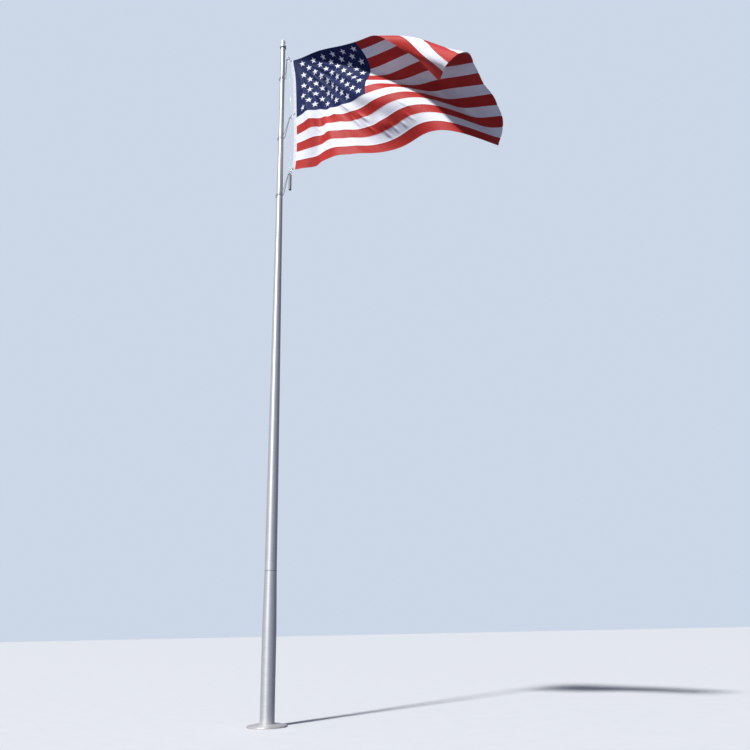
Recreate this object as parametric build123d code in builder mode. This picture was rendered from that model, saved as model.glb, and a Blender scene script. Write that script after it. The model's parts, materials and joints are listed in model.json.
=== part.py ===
"""A tapered aluminium flagpole with a revolving truck and a flag flying from it.

The pole stands on the origin with +Z up, the flag streams towards +X, and the
side with the halyard door faces +Y. All sizes are in millimetres.
"""

import os
from functools import lru_cache
from math import acos, atan2, cos, e, exp, hypot, pi, radians, sin, sqrt, tanh

from build123d import *

os.makedirs("parts", exist_ok=True)

# Height over all, from the ground to the top of the hood (40 ft)
height = 12192.0
running_gap = 0.3

# Pole: a lower section that is straight at first, a long tapered upper section and a straight neck
butt_diameter = 212.0
joint_diameter = 184.0
shoulder_diameter = 162.0
neck_diameter = 88.9
wall = 4.8
straight_height = 1350.0
joint_height = 2175.0
shoulder_height = 4700.0
neck_height = 10400.0
seam_chamfer = 2.0

# Sleeve that joins the two sections from inside
sleeve_wall = 6.0
sleeve_length = 400.0

# Flash collar on the ground
collar_diameter = 590.0
collar_height = 50.0
collar_neck_height = 6.0
collar_rim_height = 24.0
collar_dome_radius = 700.0
collar_sheet = 2.5

# Halyard door on the back of the pole
door_width = 100.0
door_height = 300.0
door_centre_height = 1150.0
door_corner = 18.0
door_gap = 0.8
frame_land = 18.0
frame_depth = 7.0
lock_diameter = 22.0
lock_stand_out = 2.0
lock_chamfer = 1.0

# Hood of the truck: a dome, a short cylinder, a flare and a skirt
hood_dome_diameter = 84.0
hood_skirt_diameter = 118.0
hood_wall = 3.0
hood_height = 182.0
hood_flare_top = 107.0
hood_flare_bottom = 150.0

# Fixed spindle in the pole top, on which the truck turns
hood_over_pole = 15.0
plug_length = 110.0
flange_diameter = 90.0
flange_thickness = 5.0
spindle_diameter = 34.0
spindle_height = 44.0
cable_bore = 18.0

# Truck housing and sheave
housing_wall = 8.0
housing_disc_thickness = 8.0
housing_disc_top = 30.0
cheek_length = 34.0
cheek_height = 66.0
cheek_thickness = 5.0
sheave_groove_radius = 16.5
sheave_rim_radius = 21.5
sheave_width = 13.0
sheave_lip = 1.5
axle_diameter = 9.0
axle_stand_out = 1.0
sheave_clearance = 1.0

# Halyard cable
cable_diameter = 4.0
loop_radius = 9.0
swage_diameter = 8.0
swage_length = 20.0

# Snap hooks
eye_radius = 22.0
eye_wire = 8.0
barrel_length = 34.0
barrel_diameter = 12.0
hook_radius = 15.0
hook_wire = 6.0

# Flag: 13 stripes on an 8 ft hoist
hoist = 2438.4
fly = 4040.0
stripe_count = 13
canton_stripes = 7
canton_share = 0.4
cloth_thickness = 8.0
heading_width = 50.0
heading_thickness = 6.0
heading_edge_to_grommet = 16.0
grommet_hole = 18.0
grommet_sheet = 1.5
grommet_flange = 28.0
grommet_inset = 22.0
hoist_top_drop = 484.0
hoist_top_offset = 195.0
hoist_bottom_offset = 262.0
hoist_bow = 50.0

# How the flag flies: degrees towards the viewer's side and below level, at the hoist, in the
# middle and at the fly, along the top hem, the middle and the bottom hem. A crease runs down
# from the top hoist corner, and the cloth bends from one set to the other across it.
upper_heading = ((0, 51, 40), (-3, 39, 40), (10, 37, 9))
upper_dip = ((9, 30, 8), (19, 12, 16), (11, 3, -2))
lower_heading = ((-12, -5, -11), (22, -4, -22), (30, 6, -33))
lower_dip = ((2, 18, -28), (12, 15, -15), (10, 13, -5))
crease_slope = 0.44
crease_curve = 0.48
crease_width = 100.0

# Ridges and turns across the flag: place along the fly at mid height, slant and width as shares
# of the fly, and how far each swings the cloth towards the viewer's side and down, in degrees.
# A ridge swings it one way and then back the other; a turn swings it one way only.
ridges = ((0.16, -0.09, 0.033, -28, -7), (0.26, 0.56, 0.111, -23, 1), (0.65, 0.01, 0.175, -7, -15))
turns = ((0.0, 0.33, 0.072, 14, -9), (0.2, 0.73, 0.152, 32, -5))

# The top fly corner, blown over towards the viewer's side: where its fold meets the top hem and
# the fly hem, as shares of their lengths, the radius of the roll and how the flap lifts beyond it
fold_on_top = 0.46
fold_on_fly = 0.38
roll_radius = 190.0
flap_lift = 0.12

# Retainer slings round the pole
sling_diameter = 10.0
sling_gap = 6.0
sling_drop = 500.0
sling_wrap_drop = 75.0
sling_near_offset = 60.0
sling_near_radius = 60.0
sling_slack = 0.1
sling_seat_angle = -135.0
ferrule_diameter = 22.0
ferrule_length = 30.0

# Counterweight on the bottom snap, with its eye
weight_diameter = 50.0
weight_length = 330.0
weight_end_round = 12.0
weight_neck = 26.0
weight_eye_radius = 12.0
weight_eye_wire = 6.0


def pole_radius(z):
    """Outer radius of the pole at height z."""
    stations = [
        (0.0, butt_diameter / 2),
        (straight_height, butt_diameter / 2),
        (joint_height, joint_diameter / 2),
        (shoulder_height, shoulder_diameter / 2),
        (neck_height, neck_diameter / 2),
        (height, neck_diameter / 2),
    ]
    for (z0, r0), (z1, r1) in zip(stations, stations[1:]):
        if z <= z1:
            return r0 + (r1 - r0) * (z - z0) / (z1 - z0)
    return stations[-1][1]


pole_top = height - hood_height - hood_over_pole
truck_level = height - hood_height

finished = []


def finish(part, name):
    """Name a finished piece and write it out."""
    part.label = name
    export_step(part, f"parts/{name}.step")
    finished.append(name)


# Lower section: a tube, tapered near its top, with the door opening cut through its back
door_plane = Plane.XZ.offset(-butt_diameter)
door_place = (0, door_centre_height)

with BuildPart() as lower_shaft:
    with BuildSketch(Plane.XZ):
        with BuildLine():
            Polyline(
                (pole_radius(0), 0),
                (pole_radius(straight_height), straight_height),
                (pole_radius(joint_height - seam_chamfer), joint_height - seam_chamfer),
                (pole_radius(joint_height) - seam_chamfer, joint_height),
                (pole_radius(joint_height) - wall, joint_height),
                (pole_radius(straight_height) - wall, straight_height),
                (pole_radius(0) - wall, 0),
                close=True,
            )
        make_face()
    revolve(axis=Axis.Z)
    with BuildSketch(door_plane):
        with Locations(door_place):
            RectangleRounded(door_width, door_height, door_corner)
    extrude(amount=butt_diameter, mode=Mode.SUBTRACT)
finish(lower_shaft.part, "lower_shaft")


def curved_plate(outline, low, high, inner, outer):
    """Cut an outline, drawn on the door plane, from a tapered shell between two depths."""
    with BuildPart() as plate:
        with BuildSketch(Plane.XZ):
            with BuildLine():
                Polyline(
                    (pole_radius(low) - inner, low),
                    (pole_radius(low) - outer, low),
                    (pole_radius(high) - outer, high),
                    (pole_radius(high) - inner, high),
                    close=True,
                )
            make_face()
        revolve(axis=Axis.Z)
        add(outline, mode=Mode.INTERSECT)
    return plate.part


door_low = door_centre_height - door_height / 2 - 2 * frame_land
door_high = door_centre_height + door_height / 2 + 2 * frame_land

with BuildPart(mode=Mode.PRIVATE) as frame_outline:
    with BuildSketch(door_plane):
        with Locations(door_place):
            RectangleRounded(door_width + 2 * frame_land, door_height + 2 * frame_land, door_corner + frame_land)
            RectangleRounded(door_width - frame_land, door_height - frame_land, door_corner, mode=Mode.SUBTRACT)
    extrude(amount=butt_diameter)
frame_back = wall + running_gap
door_frame = curved_plate(frame_outline.part, door_low, door_high, frame_back + frame_depth, frame_back)
finish(door_frame, "door_frame")

with BuildPart(mode=Mode.PRIVATE) as door_outline:
    with BuildSketch(door_plane):
        with Locations(door_place):
            RectangleRounded(door_width - 2 * door_gap, door_height - 2 * door_gap, door_corner - door_gap)
            Circle(lock_diameter / 2 + running_gap, mode=Mode.SUBTRACT)
    extrude(amount=butt_diameter)
access_door = curved_plate(door_outline.part, door_low, door_high, wall, 0)
finish(access_door, "access_door")

lock_face = pole_radius(door_centre_height) + lock_stand_out
with BuildPart() as door_lock:
    with BuildSketch(Plane.XZ.offset(-lock_face)):
        with Locations(door_place):
            Circle(lock_diameter / 2)
    extrude(amount=wall + frame_depth + lock_stand_out)
    chamfer(door_lock.edges().group_by(Axis.Y)[-1], lock_chamfer)
finish(door_lock.part, "door_lock")

# Upper section: tapered to the neck, then straight up to the truck
with BuildPart() as upper_shaft:
    with BuildSketch(Plane.XZ):
        with BuildLine():
            Polyline(
                (pole_radius(joint_height) - seam_chamfer, joint_height),
                (pole_radius(joint_height + seam_chamfer), joint_height + seam_chamfer),
                (pole_radius(shoulder_height), shoulder_height),
                (pole_radius(neck_height), neck_height),
                (pole_radius(pole_top), pole_top),
                (pole_radius(pole_top) - wall, pole_top),
                (pole_radius(neck_height) - wall, neck_height),
                (pole_radius(shoulder_height) - wall, shoulder_height),
                (pole_radius(joint_height) - wall, joint_height),
                close=True,
            )
        make_face()
    revolve(axis=Axis.Z)
finish(upper_shaft.part, "upper_shaft")

# Sleeve inside the joint, following the taper of both sections
sleeve_low = joint_height - sleeve_length / 2
sleeve_high = joint_height + sleeve_length / 2
sleeve_depth = wall + running_gap
with BuildPart() as joint_sleeve:
    with BuildSketch(Plane.XZ):
        with BuildLine():
            Polyline(
                (pole_radius(sleeve_low) - sleeve_depth, sleeve_low),
                (pole_radius(joint_height) - sleeve_depth, joint_height),
                (pole_radius(sleeve_high) - sleeve_depth, sleeve_high),
                (pole_radius(sleeve_high) - sleeve_depth - sleeve_wall, sleeve_high),
                (pole_radius(joint_height) - sleeve_depth - sleeve_wall, joint_height),
                (pole_radius(sleeve_low) - sleeve_depth - sleeve_wall, sleeve_low),
                close=True,
            )
        make_face()
    revolve(axis=Axis.Z)
finish(joint_sleeve.part, "joint_sleeve")

# Flash collar: a spun saucer with a short neck round the pole and a rolled rim
collar_neck = pole_radius(0) + running_gap
with BuildPart() as flash_collar:
    with BuildSketch(Plane.XZ):
        with BuildLine():
            neck_top = (collar_neck, collar_height)
            outer_top = (collar_neck + collar_sheet, collar_height)
            neck_foot = (collar_neck + collar_sheet, collar_height - collar_neck_height)
            rim = collar_diameter / 2
            rim_top = (rim - collar_rim_height, collar_rim_height)
            inner_rim = (rim - collar_rim_height, collar_rim_height - collar_sheet)
            inner_neck = (collar_neck, neck_foot[1] - collar_sheet)
            Polyline(neck_top, outer_top, neck_foot)
            RadiusArc(neck_foot, rim_top, collar_dome_radius)
            RadiusArc(rim_top, (rim, 0), collar_rim_height)
            Line((rim, 0), (rim - collar_sheet, 0))
            RadiusArc((rim - collar_sheet, 0), inner_rim, -(collar_rim_height - collar_sheet))
            RadiusArc(inner_rim, inner_neck, -(collar_dome_radius - collar_sheet))
            Line(inner_neck, neck_top)
        make_face()
    revolve(axis=Axis.Z)
finish(flash_collar.part, "flash_collar")

# Spindle: a plug in the pole top, a flange on its rim and a bored shaft
plug_radius = pole_radius(pole_top) - wall - running_gap
with BuildPart() as truck_spindle:
    with BuildSketch(Plane.XZ):
        with BuildLine():
            Polyline(
                (cable_bore / 2, pole_top - plug_length),
                (plug_radius, pole_top - plug_length),
                (plug_radius, pole_top),
                (flange_diameter / 2, pole_top),
                (flange_diameter / 2, pole_top + flange_thickness),
                (spindle_diameter / 2, pole_top + flange_thickness),
                (spindle_diameter / 2, pole_top + spindle_height),
                (cable_bore / 2, pole_top + spindle_height),
                close=True,
            )
        make_face()
    revolve(axis=Axis.Z)
finish(truck_spindle.part, "truck_spindle")

# Hood: dome, cylinder, flare and skirt as one thin shell
dome = hood_dome_diameter / 2
skirt = hood_skirt_diameter / 2


def hood_outline(inset):
    """Half outline of the hood, from the axis down to the skirt, moved in by the wall."""
    top = height - inset
    dome_foot = (dome - inset, height - dome)
    flare_top = (dome - inset, height - hood_flare_top)
    flare_middle = ((dome + skirt) / 2 - inset, height - (hood_flare_top + hood_flare_bottom) / 2)
    flare_foot = (skirt - inset, height - hood_flare_bottom)
    skirt_foot = (skirt - inset, truck_level)
    RadiusArc((0, top), dome_foot, dome - inset)
    Line(dome_foot, flare_top)
    TangentArc(flare_top, flare_middle, tangent=(0, -1))
    TangentArc(flare_foot, flare_middle, tangent=(0, 1))
    Line(flare_foot, skirt_foot)
    return skirt_foot


with BuildPart() as truck_hood:
    with BuildSketch(Plane.XZ):
        with BuildLine():
            outer_foot = hood_outline(0)
            inner_foot = hood_outline(hood_wall)
            Line(outer_foot, inner_foot)
            Line((0, height), (0, height - hood_wall))
        make_face()
    revolve(axis=Axis.Z)
finish(truck_hood.part, "truck_hood")

# Housing: a bearing tube round the spindle, a disc under the hood and two cheeks for the sheave
tube_bore = spindle_diameter / 2 + running_gap
tube_foot = pole_top + flange_thickness + running_gap
disc_top = truck_level + housing_disc_top
cheek_inner = sheave_width / 2 + sheave_clearance
sheave_x = sheave_groove_radius + cable_diameter / 2 + running_gap
sheave_z = disc_top + sheave_rim_radius + sheave_clearance + cheek_thickness
with BuildPart() as truck_housing:
    with BuildSketch(Plane.XZ):
        with BuildLine():
            Polyline(
                (tube_bore, tube_foot),
                (tube_bore + housing_wall, tube_foot),
                (tube_bore + housing_wall, disc_top - housing_disc_thickness),
                (skirt - hood_wall - running_gap, disc_top - housing_disc_thickness),
                (skirt - hood_wall - running_gap, disc_top),
                (tube_bore, disc_top),
                close=True,
            )
        make_face()
    revolve(axis=Axis.Z)
    for side in (-1, 1):
        cheek_y = side * (cheek_inner + cheek_thickness / 2)
        with BuildSketch(Plane.XY.offset(disc_top)):
            with Locations((sheave_x, cheek_y)):
                Rectangle(cheek_length, cheek_thickness)
        extrude(amount=cheek_height)
    with BuildSketch(Plane.XZ.offset(-skirt)):
        with Locations((sheave_x, sheave_z)):
            Circle(axle_diameter / 2 + running_gap)
    extrude(amount=2 * skirt, mode=Mode.SUBTRACT)
    # slot for the cable on its way out, and the bore over the spindle
    with BuildSketch(Plane.XY.offset(truck_level)):
        with Locations((skirt - hood_wall, 0)):
            Rectangle(2 * (skirt - hood_wall - tube_bore - housing_wall), 2 * cheek_inner)
    extrude(amount=housing_disc_top, mode=Mode.SUBTRACT)
finish(truck_housing.part, "truck_housing")

# Sheave, grooved for the cable, and its axle
sheave_plane = Plane(origin=(sheave_x, 0, sheave_z), x_dir=(1, 0, 0), z_dir=(0, -1, 0))
with BuildPart() as halyard_sheave:
    with BuildSketch(Plane(origin=(sheave_x, 0, sheave_z), x_dir=(1, 0, 0), z_dir=(0, 0, 1))):
        with BuildLine():
            half = sheave_width / 2
            seat = cable_diameter / 2 + running_gap
            groove = sheave_groove_radius
            bore = axle_diameter / 2 + running_gap
            Polyline(
                (groove, -seat),
                (groove, seat),
                (sheave_rim_radius, half - sheave_lip),
                (sheave_rim_radius, half),
                (bore, half),
                (bore, -half),
                (sheave_rim_radius, -half),
                (sheave_rim_radius, sheave_lip - half),
                close=True,
            )
        make_face()
    revolve(axis=Axis((sheave_x, 0, sheave_z), (0, 1, 0)))
finish(halyard_sheave.part, "halyard_sheave")

with BuildPart() as sheave_axle:
    with BuildSketch(sheave_plane):
        Circle(axle_diameter / 2)
    extrude(amount=cheek_inner + cheek_thickness + axle_stand_out, both=True)
finish(sheave_axle.part, "sheave_axle")


# Hoist line of the flag, and the points where its heading is fastened
hoist_top_height = height - hoist_top_drop


def hoist_x(t):
    """Distance of the hoist from the pole's axis, t below the top corner: it leans and bows."""
    lean = (hoist_bottom_offset - hoist_top_offset) * t / hoist
    return hoist_top_offset + lean + hoist_bow * (1 - (2 * t / hoist - 1) ** 4)


snap_reach = eye_radius + barrel_length + 2 * hook_radius
fastenings = {
    "top": (grommet_inset, -55),
    "middle": (hoist / 2, 50),
    "bottom": (hoist - grommet_inset, 60),
}
grommet_depth = heading_thickness / 2 + running_gap + grommet_sheet
hook_sag = hook_radius - sqrt(hook_radius**2 - grommet_depth**2)
seat_in_grommet = grommet_hole / 2 - hook_wire / 2 - running_gap - hook_sag


def grommet_centre(name):
    t = fastenings[name][0]
    return Vector(hoist_x(t) - heading_width + heading_edge_to_grommet, 0, hoist_top_height - t)


def snap_direction(name):
    angle = radians(fastenings[name][1])
    return Vector(cos(angle), 0, sin(angle))


def eye_centre(name):
    return grommet_centre(name) - snap_direction(name) * (snap_reach + seat_in_grommet)


def add_ring(centre, normal, radius, wire):
    """Add a ring of round wire about a centre, square to a direction."""
    with Locations(Plane(origin=centre, z_dir=normal)):
        Torus(radius, wire / 2)


def snap_hook(name):
    """An eye in the plane of the flag, a swivel barrel and a hook ring through the grommet."""
    eye = eye_centre(name)
    along = snap_direction(name)
    across = Vector(-along.Z, 0, along.X)
    with BuildPart() as snap:
        add_ring(eye, (0, 1, 0), eye_radius, eye_wire)
        with BuildSketch(Plane(origin=eye + along * eye_radius, z_dir=along)):
            Circle(barrel_diameter / 2)
        extrude(amount=barrel_length)
        ring_centre = eye + along * (eye_radius + barrel_length + hook_radius)
        add_ring(ring_centre, across, hook_radius, hook_wire)
    return snap.part


for name in fastenings:
    finish(snap_hook(name), f"{name}_snap")


# Cables: each ends in a small loop round the wire of an eye
def loop_on_eye(name, towards):
    """Centre of a cable loop on the eye's wire, and where the straight cable starts."""
    inner = eye_radius - eye_wire / 2 - running_gap - cable_diameter / 2
    centre = eye_centre(name) + towards * (inner + loop_radius)
    return centre, centre + towards * loop_radius


def add_rod(start, end, diameter):
    """Add a straight round piece from one point to another."""
    with Locations(Plane(origin=start, z_dir=end - start)):
        Cylinder(diameter / 2, (end - start).length, align=(Align.CENTER, Align.CENTER, Align.MIN))


def halyard_span(upper, lower):
    """A cable from the eye of one snap down to the eye of the next."""
    line = (eye_centre(lower) - eye_centre(upper)).normalized()
    normal = Vector(-line.Z, 0, line.X)
    top_loop, top_end = loop_on_eye(upper, line)
    low_loop, low_end = loop_on_eye(lower, line * -1)
    with BuildPart() as span:
        add_ring(top_loop, normal, loop_radius, cable_diameter)
        add_ring(low_loop, normal, loop_radius, cable_diameter)
        add_rod(top_end, low_end, cable_diameter)
        add_rod(top_end, top_end + line * swage_length, swage_diameter)
        add_rod(low_end, low_end - line * swage_length, swage_diameter)
    return span.part


finish(halyard_span("top", "middle"), "halyard_upper")
finish(halyard_span("middle", "bottom"), "halyard_lower")

# Halyard lead: up the bore of the spindle, over the sheave and down to the top snap
sheave_centre = Vector(sheave_x, 0, sheave_z)
to_eye = eye_centre("top") - sheave_centre
tangent_angle = atan2(to_eye.Z, to_eye.X) + acos(sheave_x / hypot(to_eye.X, to_eye.Z))
leave = sheave_centre + Vector(cos(tangent_angle), 0, sin(tangent_angle)) * sheave_x
lead_direction = (eye_centre("top") - leave).normalized()
lead_loop, lead_end = loop_on_eye("top", lead_direction * -1)
with BuildPart() as halyard_lead:
    with BuildLine() as lead_path:
        bottom = (0, 0, pole_top - plug_length)
        Line(bottom, (0, 0, sheave_z))
        over = sheave_centre + Vector(cos((pi + tangent_angle) / 2), 0, sin((pi + tangent_angle) / 2)) * sheave_x
        ThreePointArc((0, 0, sheave_z), over, leave)
        Line(leave, lead_end)
    with BuildSketch(Plane(origin=bottom, z_dir=(0, 0, 1))):
        Circle(cable_diameter / 2)
    sweep(path=lead_path.wires()[0])
    add_ring(lead_loop, Vector(-lead_direction.Z, 0, lead_direction.X), loop_radius, cable_diameter)
    add_rod(lead_end, lead_end - lead_direction * swage_length, swage_diameter)
finish(halyard_lead.part, "halyard_lead")


# Retainer slings: loops of covered cable round the pole, gathered in a ferrule with a small eye
def sling(name):
    """A loop that leaves the ferrule on both sides, goes down to the pole and round behind it."""
    seat = radians(sling_seat_angle)
    outward = Vector(cos(seat), 0, sin(seat))
    ring_centre, ring_end = loop_on_eye(name, outward)
    gathered = ring_end + outward * ferrule_length
    far_z = eye_centre(name).Z - sling_drop
    half = pole_radius(far_z) + sling_gap + sling_diameter / 2
    apart = Vector(0, sling_diameter / 2, 0)
    near = Vector(sling_near_offset, half, far_z + sling_wrap_drop)
    far = Vector(-half, half, far_z)
    side = [gathered - outward * (ferrule_length / 2) + apart, near, far]
    other = [Vector(p.X, -p.Y, p.Z) for p in reversed(side)]
    bends = [sling_near_radius, half - sling_slack]
    with BuildPart() as loop:
        with BuildLine() as path:
            FilletPolyline(*side, *other, radius=bends + bends[::-1])
        wire = path.wires()[0]
        with BuildSketch(Plane(origin=wire @ 0, z_dir=wire % 0)):
            Circle(sling_diameter / 2)
        sweep(path=wire)
        add_rod(ring_end, gathered, ferrule_diameter)
        add_ring(ring_centre, Vector(-outward.Z, 0, outward.X), loop_radius, cable_diameter)
    return loop.part


for name in fastenings:
    finish(sling(name), f"{name}_sling")

# Counterweight, hung on the bottom eye by an eye of its own
weight_seat = eye_radius - eye_wire / 2 - running_gap - weight_eye_wire / 2
weight_eye = eye_centre("bottom") - Vector(0, 0, weight_seat + weight_eye_radius)
weight_top = weight_eye.Z - weight_eye_radius
with BuildPart() as counterweight:
    with BuildSketch(Plane(origin=(weight_eye.X, 0, 0), x_dir=(1, 0, 0), z_dir=(0, -1, 0))):
        with BuildLine():
            foot = weight_top - weight_length
            radius = weight_diameter / 2
            Line((0, weight_top), (weight_neck / 2, weight_top))
            Line((weight_neck / 2, weight_top), (radius, weight_top - weight_end_round))
            Line((radius, weight_top - weight_end_round), (radius, foot + weight_end_round))
            RadiusArc((radius, foot + weight_end_round), (radius - weight_end_round, foot), weight_end_round)
            Line((radius - weight_end_round, foot), (0, foot))
            Line((0, foot), (0, weight_top))
        make_face()
    revolve(axis=Axis((weight_eye.X, 0, 0), (0, 0, 1)))
    add_ring(weight_eye, (1, 0, 0), weight_eye_radius, weight_eye_wire)
finish(counterweight.part, "counterweight")

# Heading: the canvas band along the hoist, pierced by the grommets
stripe_width = hoist / stripe_count
rows_per_stripe = 2
row_lines = [stripe_width * j / rows_per_stripe for j in range(stripe_count * rows_per_stripe + 1)]
with BuildPart() as flag_heading:
    with BuildSketch(Plane.XZ):
        with BuildLine():
            seam = [(hoist_x(t), hoist_top_height - t) for t in row_lines]
            Polyline(*seam, *[(x - heading_width, z) for x, z in reversed(seam)], close=True)
        make_face()
        for name in fastenings:
            centre = grommet_centre(name)
            with Locations((centre.X, centre.Z)):
                Circle(grommet_hole / 2 + grommet_sheet + running_gap, mode=Mode.SUBTRACT)
    extrude(amount=heading_thickness / 2, both=True)
finish(flag_heading.part, "flag_heading")

# Grommets: a short tube through the heading with a flange on each side
with BuildPart() as grommets:
    for name in fastenings:
        centre = Plane(origin=grommet_centre(name), x_dir=(1, 0, 0), z_dir=(0, -1, 0))
        with Locations(centre):
            Cylinder(grommet_hole / 2 + grommet_sheet, 2 * grommet_depth)
        for side in (-1, 1):
            with Locations(centre.offset(side * (grommet_depth - grommet_sheet / 2))):
                Cylinder(grommet_flange / 2, grommet_sheet)
        with Locations(centre):
            Cylinder(grommet_hole / 2, 2 * grommet_depth, mode=Mode.SUBTRACT)
finish(grommets.part, "grommets")


# Cloth of the flag
def nine_way(values, u, v):
    """Quadratic through three values along the fly, and through three rows down the hoist."""
    along = ((1 - u) * (1 - 2 * u), 4 * u * (1 - u), u * (2 * u - 1))
    down = ((1 - v) * (1 - 2 * v), 4 * v * (1 - v), v * (2 * v - 1))
    return sum(values[j][i] * along[i] * down[j] for j in range(3) for i in range(3))


def weft_direction(u, v):
    """Unit vector along a row of the cloth, u of the fly from the hoist and v of the hoist down."""
    depth = (crease_slope * u + crease_curve * u * u - v) * hoist
    upper = 0.5 + 0.5 * tanh(depth / crease_width)
    heading = nine_way(lower_heading, u, v) * (1 - upper) + nine_way(upper_heading, u, v) * upper
    dip = nine_way(lower_dip, u, v) * (1 - upper) + nine_way(upper_dip, u, v) * upper
    for place, slant, spread, turn, drop in ridges:
        q = (u - place - slant * (v - 0.5)) / spread
        bend = -sqrt(e) * q * exp(-q * q / 2)
        heading += turn * bend
        dip += drop * bend
    for place, slant, spread, turn, drop in turns:
        q = (u - place - slant * (v - 0.5)) / spread
        heading += turn * exp(-q * q / 2)
        dip += drop * exp(-q * q / 2)
    heading = radians(heading)
    dip = radians(dip)
    return cos(dip) * cos(heading), -cos(dip) * sin(heading), -sin(dip)


def open_cloth(s, t):
    """Place of the cloth before its corner turns: each row adds up its own direction from the hoist."""
    row = [weft_direction(s / fly * (k + 0.5) / row_steps, t / hoist) for k in range(row_steps)]
    x, y, z = (sum(axis) * s / row_steps for axis in zip(*row))
    return Vector(hoist_x(t) + x, y, hoist_top_height - t + z)


@lru_cache(maxsize=None)
def cloth_point(s, t):
    """Place of the cloth, s along the fly and t below the top edge, its top corner turned back.

    Beyond the fold line the cloth goes round a roll and then back over itself.
    """
    fold_s = fold_on_top * fly
    length = hypot(fly - fold_s, fold_on_fly * hoist)
    along_s = (fly - fold_s) / length
    along_t = fold_on_fly * hoist / length
    past = (s - fold_s) * along_t - t * along_s
    if past <= 0:
        return open_cloth(s, t)
    turn = min(past / roll_radius, pi)
    back = max(past - pi * roll_radius, 0)
    shift = roll_radius * sin(turn) - back - past
    lift = roll_radius * (1 - cos(turn)) + flap_lift * back
    s += shift * along_t
    t -= shift * along_s
    h = 4.0
    along = open_cloth(s + h, t) - open_cloth(s - h, t)
    down = open_cloth(s, t + h) - open_cloth(s, t - h)
    return open_cloth(s, t) + down.cross(along).normalized() * lift


def cloth_normal(s, t):
    """Unit normal of the cloth on the side that faces the viewer where the cloth is open."""
    h = 4.0
    along = cloth_point(s + h, t) - cloth_point(s - h, t)
    down = cloth_point(s, t + h) - cloth_point(s, t - h)
    return down.cross(along).normalized()


def triangles(a, b, c, d):
    """Two flat faces for one cell of a grid."""
    return [Face(Wire.make_polygon([a, b, c])), Face(Wire.make_polygon([a, c, d]))]


def cloth_piece(s_low, s_high, first_stripe, last_stripe):
    """A closed panel of cloth with flat facets, equally thick on both sides of the surface."""
    lines = [s for s in column_lines if s_low <= s <= s_high]
    columns = len(lines) - 1
    stations = row_lines[first_stripe * rows_per_stripe:last_stripe * rows_per_stripe + 1]
    rows = len(stations) - 1
    front, back = [], []
    for i, s in enumerate(lines):
        front.append([])
        back.append([])
        for t in stations:
            point = cloth_point(s, t)
            square = Vector(0, -1, 0) if s == hoist_seam else cloth_normal(s, t)
            offset = square * (cloth_thickness / 2)
            front[i].append(point + offset)
            back[i].append(point - offset)
    faces = []
    for i in range(columns):
        for j in range(rows):
            faces += triangles(front[i][j], front[i + 1][j], front[i + 1][j + 1], front[i][j + 1])
            faces += triangles(back[i][j], back[i][j + 1], back[i + 1][j + 1], back[i + 1][j])
        faces += triangles(front[i][0], back[i][0], back[i + 1][0], front[i + 1][0])
        faces += triangles(front[i][rows], front[i + 1][rows], back[i + 1][rows], back[i][rows])
    for j in range(rows):
        faces += triangles(front[0][j], front[0][j + 1], back[0][j + 1], back[0][j])
        faces += triangles(front[columns][j], back[columns][j], back[columns][j + 1], front[columns][j + 1])
    return Solid(Shell(faces))


hoist_seam = running_gap
canton_length = canton_share * fly
row_steps = 48
canton_columns = 16
fly_columns = 24
column_lines = [hoist_seam + (canton_length - hoist_seam) * i / canton_columns for i in range(canton_columns)]
column_lines += [canton_length + (fly - canton_length) * i / fly_columns for i in range(fly_columns)] + [fly]

with BuildPart() as canton:
    add(cloth_piece(hoist_seam, canton_length, 0, canton_stripes))
finish(canton.part, "canton")

for number in range(1, stripe_count + 1):
    start = canton_length if number <= canton_stripes else hoist_seam
    with BuildPart() as stripe:
        add(cloth_piece(start, fly, number - 1, number))
    finish(stripe.part, f"stripe_{number}")

print("pieces:", len(finished), "pole top:", round(pole_top, 1))
for name in fastenings:
    print(name, "eye", eye_centre(name), "grommet", grommet_centre(name))
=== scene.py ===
import json
from math import e, pi, radians, sin, sqrt

import bpy
import numpy as np
from mathutils import Matrix, Vector


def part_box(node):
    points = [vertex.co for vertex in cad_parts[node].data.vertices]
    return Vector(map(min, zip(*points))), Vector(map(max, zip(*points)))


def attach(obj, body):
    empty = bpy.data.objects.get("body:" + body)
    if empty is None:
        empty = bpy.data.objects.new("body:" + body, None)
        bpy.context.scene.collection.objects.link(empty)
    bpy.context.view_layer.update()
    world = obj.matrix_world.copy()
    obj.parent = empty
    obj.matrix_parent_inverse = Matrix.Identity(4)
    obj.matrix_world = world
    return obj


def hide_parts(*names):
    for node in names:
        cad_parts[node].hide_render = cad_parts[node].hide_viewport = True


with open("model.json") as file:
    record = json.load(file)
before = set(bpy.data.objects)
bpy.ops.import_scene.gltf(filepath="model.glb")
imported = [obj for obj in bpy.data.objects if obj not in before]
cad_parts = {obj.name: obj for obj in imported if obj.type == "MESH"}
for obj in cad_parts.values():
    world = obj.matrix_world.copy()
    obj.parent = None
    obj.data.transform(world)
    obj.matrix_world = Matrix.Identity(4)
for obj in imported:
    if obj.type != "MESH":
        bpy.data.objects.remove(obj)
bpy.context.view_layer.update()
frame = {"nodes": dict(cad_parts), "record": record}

nodes = frame["nodes"]
print("frame loaded:", len(nodes), "nodes")


# camera, at the photograph's angle: from eye height, looking up
cameraSetup = {
    "place": (1.652, -11.962, 1.274),   # metres
    "pitch": 18.574,                    # degrees above level
    "roll": 1.167,                      # degrees clockwise
    "focalPixels": 762,                 # for a frame of 750 pixels
    "framePixels": 750,
    "sensor": 36.0,                     # millimetres
    "farthest": 500,                    # metres
}


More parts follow.
